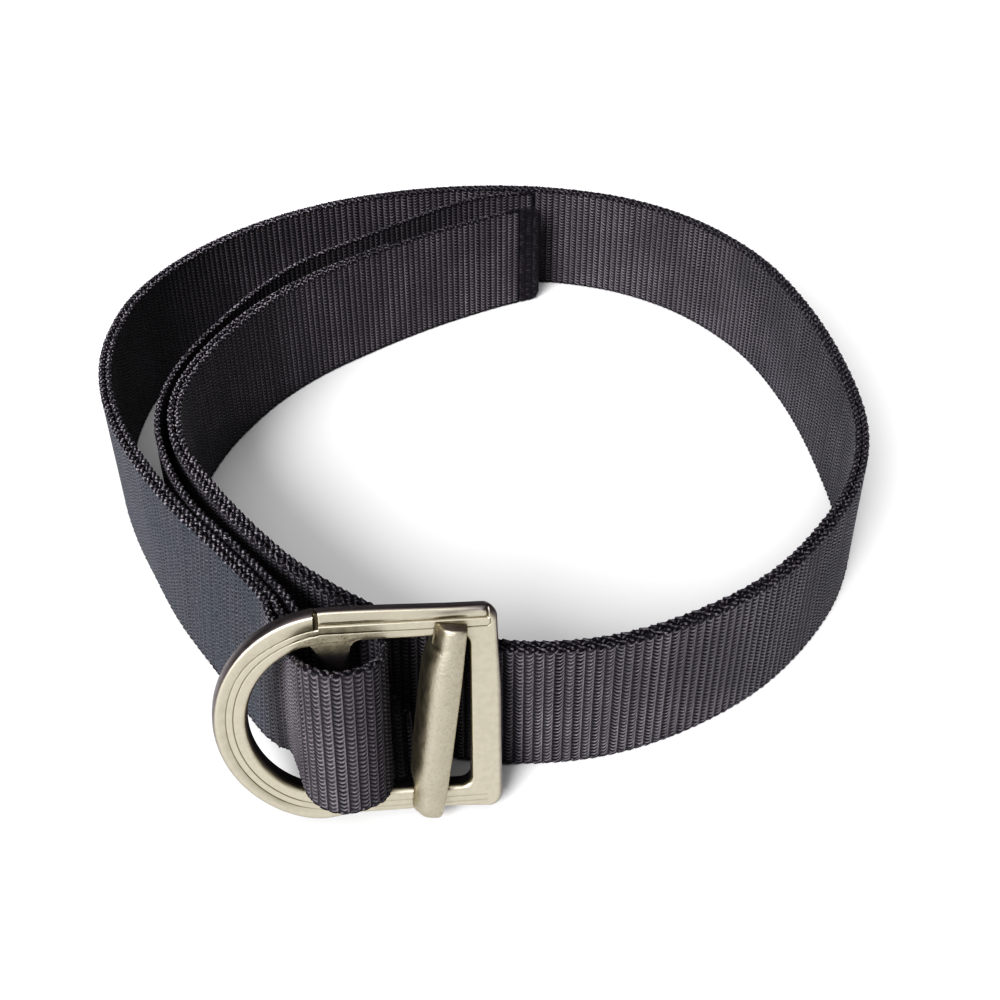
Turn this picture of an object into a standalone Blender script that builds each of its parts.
# Tactical belt: a long strip of webbing folded double round the middle bar of a cast D buckle,
# with a slide bar on the buckle's rails, a short loose ply between the layers and a sealed tip.
# Metres, +Z up. The belt stands on its lower edge with the buckle at the front, towards -Y.

from math import ceil, cos, radians, sin, sqrt, tan

import bmesh
import bpy
from mathutils import Euler, Vector

MM = 0.001

# Webbing
WEB_WIDTH = 38.1              # 1.5 inch webbing
WEB_THICK = 1.7               # one ply
PLY_GAP = 0.3                 # air between two plies that lie together
PLY_SHIFT = (WEB_THICK + PLY_GAP) / 2
EDGE_ROUND = 0.3              # rounding of the woven edges
SECTION_STEP = 7.5            # longest stretch between two cross-sections
HALF = WEB_WIDTH / 2

# The middle of the belt's box, in the coordinates of the tables below
CENTRE = (-8.47, 6.32)

# Buckle frame: a D on its side, window first, then the band round it
WINDOW_HALF = 19.35           # half the window's height, and the radius of its round end
WINDOW_RIGHT = 29.34          # the window's straight end, from the centre of the round end
BAND = 7.6                    # width of the round rim and of both rails
RIGHT_BAR = 6.96              # width of the straight end bar
CAST_THICK = 4.5
CORNER_IN = 2.5
CORNER_OUT = 3.2
ARC_CUTS = 24
CORNER_CUTS = 5
RAIL_CUTS = 4

# Where the buckle stands: the centre of its round end, and how it turns and leans back
BUCKLE_AT = (-35.57, -112.76, 28.04)
BUCKLE_LEAN = 15.3
BUCKLE_TURN = 6.0
BUCKLE_ROLL = 1.35

# Middle bar of the frame, which the webbing is folded round
BAR_AT = 0.5
BAR_HALF = 3.2
FLARE_RIGHT = (3.0, 3.0)      # width and height of the flare beside the slide bar
FLARE_LEFT = (4.0, 7.5)       # and on the round end's side
BAR_FRONT = -1.1
BAR_BACK = -4.2
BAR_SINK = 2.2                # how far its ends run into the rails
BAR_SIDES = 10
BAR_SQUARE = 1.15             # how much its oval section is squared off
BAR_RISES = (1.2, 2.2, 3.0, 4.5, 6.0, FLARE_LEFT[1], -BAR_SINK)

# Slide bar: a half-round bar between the rails, with lips in front of them and behind them
SLIDE_AT = 22.5
SLIDE_DROP = 0.6
SLIDE_TILT = 7.3
SLIDE_SIDES = 12
SLIDE_LIP_BACK = 0.35
KEEPER_HALF = 3.2
KEEPER_FRONT = -4.85
KEEPER_BACK = -6.4
KEEPER_START = 14.2
KEEPER_STEP = 18.0
KEEPER_END = 21.9
KEEPER_CHAMFER = 1.6
SLIDE_ROOT = -3.6
SLIDE_CROWN = 0.72            # share of its depth that is rounded

# Tail tip
TIP_THICK = 1.9

FACES_SHARP = 40.0            # degrees between faces that shade as an edge

# The doubled strap's middle, from the buckle round the waist to the tail.
# Columns: x, y of the middle, lift of the lower edge above the surface,
# lean of the top towards the inside and rake of the top along the strap, in degrees.
RING_ROWS = [
    (-53.6, -91.5, 3.6, 10.5, 9.0),
    (-67.9, -71.2, 1.2, 9.5, 5.0),
    (-83.0, -51.3, 0.2, 6.0, 2.0),
    (-93.9, -34.3, 0.1, 2.5, 0.0),
    (-103.4, -17.5, 0.05, 0.8, 0.0),
    (-110.8, -0.6, 0.0, 0.0, 0.0),
    (-116.0, 17.9, 0.0, 0.0, 0.0),
    (-117.6, 36.0, 0.0, 0.0, 0.0),
    (-115.7, 55.6, 0.0, 0.0, 0.0),
    (-107.9, 76.6, 0.0, 0.0, 0.0),
    (-94.6, 96.5, 0.0, 0.0, 0.0),
    (-76.8, 113.3, 0.0, 0.0, 0.0),
    (-57.0, 125.4, 0.0, 0.0, 0.0),
    (-29.0, 134.6, 0.0, 0.0, 0.0),
    (0.0, 137.4, 0.0, 0.0, 0.0),
    (23.2, 134.6, 0.0, 0.0, 0.0),
    (46.3, 126.4, 0.0, 0.0, 0.0),
    (67.7, 110.0, 0.0, 0.0, 0.0),
    (85.4, 83.6, 0.0, 0.0, 0.0),
    (95.1, 52.4, 0.0, 0.0, 0.0),
    (99.8, 16.0, 0.0, 0.0, 0.0),
    (99.4, -15.0, 0.0, 1.5, 0.0),
    (92.6, -38.0, 0.0, 1.0, 0.0),
    (81.8, -56.6, 0.0, 1.0, 0.0),
    (64.6, -76.3, 0.0, 0.0, 0.0),
    (43.1, -90.6, 0.0, 0.0, 0.0),
    (23.6, -97.9, 0.0, 0.0, 0.0),
    (4.8, -99.7, 0.0, 1.0, 0.0),
    (-8.0, -97.8, 0.0, 3.0, 0.0),
    (-20.0, -93.4, 0.0, 3.0, 0.0),
    (-32.0, -86.3, 0.0, 1.0, 0.0),
    (-49.3, -72.3, 0.0, 0.0, 0.0),
    (-63.1, -57.0, 0.0, 0.0, 0.0),
    (-75.4, -40.7, 0.0, 0.0, 0.0),
    (-85.6, -24.2, 0.0, 0.0, 0.0),
    (-90.4, -9.0, 0.0, 0.0, 0.0),
    (-91.2, 4.5, 0.0, 0.0, 0.0),
    (-88.9, 18.4, 0.0, 0.0, 0.0),
    (-84.6, 32.1, 0.0, 0.0, 0.0),
    (-75.2, 51.5, 0.0, 0.0, 0.0),
    (-62.6, 68.6, 0.0, 0.0, 0.0),
    (-43.7, 86.4, 0.0, 0.0, 0.0),
    (-33.5, 94.8, 0.0, 0.0, 0.0),
]

# The tail beyond the end of the outer ply, and its tip, in the same columns
TAIL_ROWS = [
    (-22.9, 102.7, 0.0, 0.0, 0.0),
    (-11.0, 110.4, 0.0, 0.0, 0.0),
    (-1.2, 116.2, 0.0, 0.0, 0.0),
    (6.1, 119.8, 0.0, 0.0, 0.0),
]
# The tip and the loose ply add two columns: reach above and reach below the middle.
TIP_ROWS = [
    (6.5, 120.0, 0.0, 0.0, 0.0, 18.9, 18.9),
    (10.3, 121.7, 0.0, 0.0, 0.0, 18.9, 18.9),
    (12.6, 122.6, 0.0, 0.0, 0.0, 18.2, 18.2),
    (13.8, 123.1, 0.0, 0.0, 0.0, 15.9, 15.9),
]

# The loose ply between the layers, from its trimmed end behind the buckle to the belt's back
LOOSE_ROWS = [
    (-20.4, -101.4, 0.4, 15.0, 0.0, -7.0, HALF),
    (-21.6, -101.6, 0.4, 15.0, 0.0, -1.0, HALF),
    (-24.4, -101.9, 0.4, 15.0, 0.0, 5.0, HALF),
    (-27.4, -102.2, 0.5, 15.0, 0.0, 12.0, HALF),
    (-31.0, -102.3, 0.6, 15.0, 0.0, HALF, HALF),
    (-36.0, -102.1, 1.0, 15.0, 1.5, HALF, HALF),
    (-41.0, -100.4, 1.6, 13.5, 5.0, HALF, HALF),
    (-46.0, -96.0, 2.4, 11.5, 8.0, HALF, HALF),
    (-50.4, -88.9, 3.0, 10.5, 9.0, HALF, HALF),
    (-57.6, -78.9, 2.0, 10.0, 7.0, HALF, HALF),
    (-65.0, -69.2, 1.2, 9.5, 5.0, HALF, HALF),
    (-80.0, -49.1, 0.2, 6.0, 2.0, HALF, HALF),
    (-88.6, -30.9, 0.15, 2.0, 0.0, HALF, HALF),
    (-93.4, -16.6, 0.0, 0.0, 0.0, HALF, HALF),
    (-95.5, -3.6, 0.0, 0.0, 0.0, HALF, HALF),
    (-94.8, 12.0, 0.0, 0.0, 0.0, HALF, HALF),
    (-91.4, 26.9, 0.0, 0.0, 0.0, HALF, HALF),
    (-86.5, 41.0, 0.0, 0.0, 0.0, HALF, HALF),
    (-77.5, 61.6, 0.0, 0.0, 0.0, HALF, HALF),
    (-65.9, 80.2, 0.0, 0.0, 0.0, HALF, HALF),
    (-48.5, 96.6, 0.0, 0.0, 0.0, HALF, HALF),
    (-33.4, 109.9, 0.0, 0.0, 0.0, HALF, HALF),
    (-20.0, 121.2, 0.0, 0.0, 0.0, HALF, HALF),
    (-6.5, 129.2, 0.0, 0.0, 0.0, HALF, HALF),
    (11.8, 133.2, 0.0, 0.0, 0.0, HALF, HALF),
]

# The fold round the middle bar, in the buckle's own axes.
# Columns: across the buckle, forward of its face, extra pitch of the top to the front,
# reach above and reach below the window's centre line.
FOLD_FRONT_ROWS = [
    (3.6, -8.4, 0.0, 18.4, 18.4),
    (8.2, -7.0, 0.0, 18.3, 18.3),
    (10.5, -3.2, 0.0, 18.2, 18.0),
    (10.8, 1.4, 1.0, 18.4, 17.8),
    (9.3, 5.8, 2.0, 18.9, 18.0),
    (5.4, 8.9, 3.0, 19.0, 18.0),
    (0.8, 9.7, 3.0, 18.8, 18.2),
    (-3.6, 8.2, 3.0, 19.2, 17.4),
    (-6.7, 4.4, 2.0, 18.6, 16.0),
    (-8.1, 0.0, 0.0, 16.7, 13.2),
    (-9.5, -5.6, 0.0, 15.9, 12.8),
    (-10.7, -10.6, 0.0, 16.6, 14.4),
]
FOLD_BACK_ROWS = [
    (3.2, -8.5, 0.0, 18.4, 18.4),
    (-1.5, -9.4, 0.0, 18.5, 18.5),
    (-6.2, -11.9, 0.0, 18.6, 18.6),
]
# Where the two plies come together, in the same columns
FOLD_OPEN_ROW = (-11.9, -16.4, 0.0, 17.8, 16.8)
FOLD_MEET_ROW = (-13.7, -20.2, 0.0, 18.6, 18.2)
OPEN_SHIFT = 1.6              # how far each ply is from their middle where they part
MEET_SHIFT = 1.2              # and where they come together

# The frame's band in section. Columns: share of the way from the window's edge to the
# outer edge, and forward of the buckle's face, for the rim and rails and for the end bar.
BAND_ROWS = [
    (0.00, -4.40, 0.00, -4.40),
    (0.00, -0.70, 0.00, -0.70),
    (0.03, -0.20, 0.03, -0.20),
    (0.11, 0.00, 0.11, 0.00),
    (0.50, 0.00, 0.50, 0.00),
    (0.62, -0.15, 0.84, 0.00),
    (0.90, -1.75, 0.95, -0.20),
    (0.98, -2.30, 0.99, -0.60),
    (1.00, -2.90, 1.00, -1.20),
    (1.00, -4.40, 1.00, -4.40),
    (0.95, -CAST_THICK, 0.95, -CAST_THICK),
    (0.05, -CAST_THICK, 0.05, -CAST_THICK),
]

# The slide bar along its length. Columns: place along the bar, half width, back, front.
SLIDE_ROWS = [
    (-24.2, 2.5, 0.9, 3.1),
    (-23.7, 3.1, SLIDE_LIP_BACK, 3.6),
    (-18.4, 3.3, SLIDE_LIP_BACK, 3.9),
    (-18.1, 3.3, -4.5, 4.0),
    (-15.4, 4.5, -4.5, 4.2),
    (0.0, 4.7, -4.5, 4.3),
    (13.6, 4.5, -4.5, 4.2),
    (18.1, 3.3, -4.5, 4.0),
    (18.4, 3.3, SLIDE_LIP_BACK, 3.9),
    (23.7, 3.1, SLIDE_LIP_BACK, 3.6),
    (24.2, 2.5, 0.9, 3.1),
]


def clear_scene():
    for old in list(bpy.data.objects):
        bpy.data.objects.remove(old, do_unlink=True)


def material(name, colour, roughness, metallic):
    made = bpy.data.materials.new(name)
    made.use_nodes = True
    shader = made.node_tree.nodes["Principled BSDF"]
    shader.inputs["Base Color"].default_value = (*colour, 1.0)
    shader.inputs["Roughness"].default_value = roughness
    shader.inputs["Metallic"].default_value = metallic
    return made


def add_object(name, mesh_data, made):
    new = bpy.data.objects.new(name, mesh_data)
    bpy.context.scene.collection.objects.link(new)
    new.data.materials.append(made)
    return new


def finish_mesh(name, work):
    """Turn a bmesh into a mesh with its faces outwards and soft shading on round parts."""
    bmesh.ops.recalc_face_normals(work, faces=work.faces)
    made = bpy.data.meshes.new(name)
    work.to_mesh(made)
    work.free()
    made.shade_smooth()
    made.set_sharp_from_angle(angle=radians(FACES_SHARP))
    return made


def loft(name, rings, closed=False):
    """A closed solid through rings of points that all have the same number of points.

    The diagonals mirror each other on the two sides of a strap, so that the facing sides
    of two plies that lie together keep their gap where the straps twist.
    """
    work = bmesh.new()
    made = [[work.verts.new(point) for point in ring] for ring in rings]
    count = len(made[0])
    following = made[1:] + made[:1] if closed else made[1:]
    for here, there in zip(made, following):
        for i in range(count):
            j = (i + 1) % count
            if i < count // 2:
                work.faces.new((here[i], here[j], there[j]))
                work.faces.new((here[i], there[j], there[i]))
            else:
                work.faces.new((here[i], here[j], there[i]))
                work.faces.new((here[j], there[j], there[i]))
    if not closed:
        work.faces.new(list(reversed(made[0])))
        work.faces.new(made[-1])
    bmesh.ops.triangulate(work, faces=[f for f in work.faces if len(f.verts) > 4])
    return finish_mesh(name, work)


# Buckle axes in the table's coordinates: right, up along the buckle, and out of its face
BUCKLE_EULER = Euler((-radians(BUCKLE_LEAN), radians(BUCKLE_ROLL), radians(BUCKLE_TURN)), "XZY")
BUCKLE_TURNED = BUCKLE_EULER.to_matrix()
ACROSS = BUCKLE_TURNED @ Vector((1, 0, 0))
UP = BUCKLE_TURNED @ Vector((0, 0, 1))
FORWARD = BUCKLE_TURNED @ Vector((0, -1, 0))


def place(point):
    """From the tables' millimetres to the belt's own frame in metres."""
    return Vector((point[0] - CENTRE[0], point[1] - CENTRE[1], point[2])) * MM


def table_directions(rows):
    """The way the strap runs at each row, from its neighbours."""
    spots = [Vector((row[0], row[1], 0.0)) for row in rows]
    runs = []
    for i in range(len(spots)):
        before = spots[max(i - 1, 0)]
        after = spots[min(i + 1, len(spots) - 1)]
        runs.append((after - before).normalized())
    return runs


def floor_stations(rows, shift):
    """Stations of a strap that stands on its edge: middle, top edge and bottom edge."""
    stations = []
    for row, run in zip(rows, table_directions(rows)):
        x, y, lift, lean, rake, *reach = row
        above, below = reach or (HALF, HALF)
        inward = run.cross(Vector((0, 0, 1)))
        upright = Vector((0, 0, 1)) + inward * tan(radians(lean)) + run * tan(radians(rake))
        upright.normalize()
        corner = (abs(shift) + WEB_THICK / 2 - EDGE_ROUND) * sin(radians(lean))
        middle = Vector((x, y, lift + corner + HALF * upright.z))
        stations.append((middle, upright * above, upright * -below, shift))
    return stations


def buckle_stations(rows, shift=0.0):
    """Stations of the fold, whose rows are in the buckle's own axes."""
    stations = []
    for across, forward, pitch, above, below in rows:
        middle = Vector(BUCKLE_AT) + ACROSS * across + FORWARD * forward
        upright = UP * cos(radians(pitch)) + FORWARD * sin(radians(pitch))
        stations.append((middle, upright * above, upright * -below, shift))
    return stations


def parting_stations(side):
    """Where the fold's two legs close up: side -1 is the outer ply, 1 the inner ply."""
    return (buckle_stations([FOLD_OPEN_ROW], side * OPEN_SHIFT)
            + buckle_stations([FOLD_MEET_ROW], side * MEET_SHIFT))


def spline_point(points, knots, t):
    """Catmull-Rom through four points, by repeated mixing between knots."""
    def mix(first, second, low, high):
        share = (t - low) / (high - low)
        return [a * (1 - share) + b * share for a, b in zip(first, second)]

    one, two, three, four = points
    k0, k1, k2, k3 = knots
    early = mix(one, two, k0, k1)
    inner = mix(two, three, k1, k2)
    late = mix(three, four, k2, k3)
    return mix(mix(early, inner, k0, k2), mix(inner, late, k1, k3), k1, k2)


def smooth_stations(stations):
    """Stations at short steps along a smooth curve through the given ones."""
    flat = [list(m) + list(a) + list(b) + [s] for m, a, b, s in stations]
    first = [2 * p - q for p, q in zip(flat[0], flat[1])]
    last = [2 * p - q for p, q in zip(flat[-1], flat[-2])]
    flat = [first] + flat + [last]
    out = []
    for i in range(1, len(flat) - 2):
        four = flat[i - 1:i + 3]
        knots = [0.0]
        for a, b in zip(four, four[1:]):
            gap = (Vector(a[:3]) - Vector(b[:3])).length
            knots.append(knots[-1] + sqrt(gap))
        length = (Vector(four[1][:3]) - Vector(four[2][:3])).length
        cuts = max(2, ceil(length / SECTION_STEP))
        for k in range(cuts):
            t = knots[1] + (knots[2] - knots[1]) * k / cuts
            out.append(spline_point(four, knots, t))
    out.append(flat[-2])
    return out


def strap_rings(stations, thick):
    """Cross-sections of a strap: a flat strip with slightly rounded long edges."""
    line = smooth_stations(stations)
    rings = []
    for i, here in enumerate(line):
        before = line[max(i - 1, 0)]
        after = line[min(i + 1, len(line) - 1)]
        run = (Vector(after[:3]) - Vector(before[:3])).normalized()
        above = Vector(here[3:6])
        below = Vector(here[6:9])
        side = run.cross(above).normalized()
        middle = Vector(here[:3]) + side * here[9]
        half = thick / 2
        soft = side * (half - EDGE_ROUND)
        top = middle + above
        foot = middle + below
        drop = above.normalized() * EDGE_ROUND
        ring = [
            top - soft, top + soft,
            top - drop + side * half, foot + drop + side * half,
            foot + soft, foot - soft,
            foot + drop - side * half, top - drop - side * half,
        ]
        rings.append([place(point) for point in ring])
    return rings


def make_strap(name, stations, made, thick=WEB_THICK):
    return add_object(name, loft(name, strap_rings(stations, thick)), made)


def make_webbing(web, sealed):
    outer = (buckle_stations(FOLD_FRONT_ROWS) + parting_stations(-1)
             + floor_stations(RING_ROWS, -PLY_SHIFT))
    make_strap("outer_ply", outer, web)
    inner = (buckle_stations(FOLD_BACK_ROWS) + parting_stations(1)
             + floor_stations(RING_ROWS + TAIL_ROWS, PLY_SHIFT))
    make_strap("inner_ply", inner, web)
    make_strap("loose_ply", floor_stations(LOOSE_ROWS, 0.0), web)
    make_strap("tail_tip", floor_stations(TIP_ROWS, PLY_SHIFT), sealed, TIP_THICK)


def arc_points(centre, radius, start, end, cuts):
    """Points on an arc, with the angle in degrees from +X towards +Z."""
    points = []
    for k in range(cuts + 1):
        angle = radians(start + (end - start) * k / cuts)
        points.append((centre[0] + radius * cos(angle), centre[1] + radius * sin(angle)))
    return points


def band_outlines():
    """Matching points of the window's edge and the outer edge, and the end bar's share."""
    high_in = WINDOW_HALF
    high_out = WINDOW_HALF + BAND
    right_out = WINDOW_RIGHT + RIGHT_BAR
    pairs = []
    for k in range(1, RAIL_CUTS):
        u = (WINDOW_RIGHT - CORNER_IN) * k / RAIL_CUTS
        pairs.append(((u, high_in), (u, high_out), 0.0))
    corner_in = (WINDOW_RIGHT - CORNER_IN, high_in - CORNER_IN)
    corner_out = (right_out - CORNER_OUT, high_out - CORNER_OUT)
    upper_in = arc_points(corner_in, CORNER_IN, 90, 0, CORNER_CUTS)
    upper_out = arc_points(corner_out, CORNER_OUT, 90, 0, CORNER_CUTS)
    for k, (a, b) in enumerate(zip(upper_in, upper_out)):
        pairs.append((a, b, k / CORNER_CUTS))
    pairs.append(((WINDOW_RIGHT, 0.0), (right_out, 0.0), 1.0))
    for k, (a, b) in enumerate(zip(upper_in[::-1], upper_out[::-1])):
        pairs.append(((a[0], -a[1]), (b[0], -b[1]), 1.0 - k / CORNER_CUTS))
    for k in range(RAIL_CUTS - 1, 0, -1):
        u = (WINDOW_RIGHT - CORNER_IN) * k / RAIL_CUTS
        pairs.append(((u, -high_in), (u, -high_out), 0.0))
    round_in = arc_points((0.0, 0.0), high_in, 270, 90, ARC_CUTS)
    round_out = arc_points((0.0, 0.0), high_out, 270, 90, ARC_CUTS)
    for a, b in zip(round_in, round_out):
        pairs.append((a, b, 0.0))
    return pairs


def make_band(name):
    rings = []
    for edge_in, edge_out, bar_share in band_outlines():
        ring = []
        for rail_part, rail_out, bar_part, bar_out in BAND_ROWS:
            part = rail_part * (1 - bar_share) + bar_part * bar_share
            out = rail_out * (1 - bar_share) + bar_out * bar_share
            u = edge_in[0] * (1 - part) + edge_out[0] * part
            v = edge_in[1] * (1 - part) + edge_out[1] * part
            ring.append(Vector((u, -out, v)) * MM)
        rings.append(ring)
    return loft(name, rings, closed=True)


def flare(v, size):
    """How far a quarter-round flare stands out at a height, on its way to the rail."""
    width, height = size
    rise = min(max(abs(v) - (WINDOW_HALF - height), 0.0) / height, 1.0)
    return width * (1 - sqrt(1 - rise ** 2))


def make_middle_bar(name):
    """The bar across the window, flared where it runs into the rails."""
    heights = [0.0]
    for rise in BAR_RISES:
        heights.append(WINDOW_HALF - rise)
        heights.append(rise - WINDOW_HALF)
    middle = (BAR_FRONT + BAR_BACK) / 2
    deep = (BAR_FRONT - BAR_BACK) / 2
    rings = []
    for v in sorted(heights):
        left = BAR_HALF + flare(v, FLARE_LEFT)
        right = BAR_HALF + flare(v, FLARE_RIGHT)
        ring = []
        for k in range(BAR_SIDES):
            angle = radians(360 * (k + 0.5) / BAR_SIDES)
            wide = max(-1.0, min(1.0, BAR_SQUARE * cos(angle)))
            wide *= right if wide > 0 else left
            out = deep * max(-1.0, min(1.0, BAR_SQUARE * sin(angle)))
            ring.append(Vector((BAR_AT + wide, -(middle + out), v)) * MM)
        rings.append(ring)
    return loft(name, rings)


def add_union(target, part):
    """Join a helper solid to the target with a live Boolean, and hide the helper."""
    cut = target.modifiers.new("Union", "BOOLEAN")
    cut.operation = "UNION"
    cut.solver = "EXACT"
    cut.object = part
    part.hide_render = True
    part.display_type = "WIRE"


def slide_rings():
    """Half-round sections of the slide bar: flat at the back, crowned in front."""
    rings = []
    for z, half, back, front in SLIDE_ROWS:
        ring = [Vector((-half, -back, z)) * MM, Vector((half, -back, z)) * MM]
        for k in range(SLIDE_SIDES - 2):
            angle = radians(180 * k / (SLIDE_SIDES - 3))
            depth = (front - back) * SLIDE_CROWN
            start = front - depth
            ring.append(Vector((half * cos(angle), -(start + depth * sin(angle)), z)) * MM)
        rings.append(ring)
    return rings


def make_keeper(name, sign):
    """The lip behind one rail, with the foot that joins it to the bar."""
    outline = [
        (KEEPER_START, SLIDE_ROOT), (KEEPER_STEP, SLIDE_ROOT),
        (KEEPER_STEP, KEEPER_FRONT), (KEEPER_END, KEEPER_FRONT),
        (KEEPER_END, KEEPER_BACK), (KEEPER_START + KEEPER_CHAMFER, KEEPER_BACK),
        (KEEPER_START, KEEPER_FRONT),
    ]
    work = bmesh.new()
    face = work.faces.new([
        work.verts.new(Vector((-KEEPER_HALF, -out, sign * z)) * MM) for z, out in outline
    ])
    grown = bmesh.ops.extrude_face_region(work, geom=[face])
    moved = [item for item in grown["geom"] if isinstance(item, bmesh.types.BMVert)]
    bmesh.ops.translate(work, verts=moved, vec=Vector((2 * KEEPER_HALF * MM, 0, 0)))
    bmesh.ops.triangulate(work, faces=work.faces)
    return finish_mesh(name, work)


def make_buckle(cast, rough_cast):
    stand = bpy.data.objects.new("buckle_axes", None)
    bpy.context.scene.collection.objects.link(stand)
    stand.rotation_mode = "XZY"
    stand.rotation_euler = BUCKLE_EULER
    stand.location = place(BUCKLE_AT)

    frame = add_object("buckle_frame", make_band("buckle_frame"), cast)
    frame.parent = stand
    middle_bar = add_object("middle_bar_helper", make_middle_bar("middle_bar_helper"), cast)
    middle_bar.parent = stand
    add_union(frame, middle_bar)

    slide = add_object("slide_bar", loft("slide_bar", slide_rings()), rough_cast)
    slide.parent = stand
    slide.location = Vector((SLIDE_AT, 0, -SLIDE_DROP)) * MM
    slide.rotation_euler = (0, radians(SLIDE_TILT), 0)
    for label, sign in (("upper", 1), ("lower", -1)):
        keeper_name = label + "_keeper_helper"
        keeper = add_object(keeper_name, make_keeper(keeper_name, sign), rough_cast)
        keeper.parent = slide
        add_union(slide, keeper)


def main():
    clear_scene()
    web = material("webbing", (0.035, 0.034, 0.040), 0.85, 0.0)
    sealed = material("sealed_webbing", (0.012, 0.012, 0.014), 0.5, 0.0)
    cast = material("satin_cast", (0.62, 0.57, 0.43), 0.38, 0.9)
    rough_cast = material("satin_slide", (0.60, 0.56, 0.42), 0.42, 0.9)
    make_webbing(web, sealed)
    make_buckle(cast, rough_cast)


main()
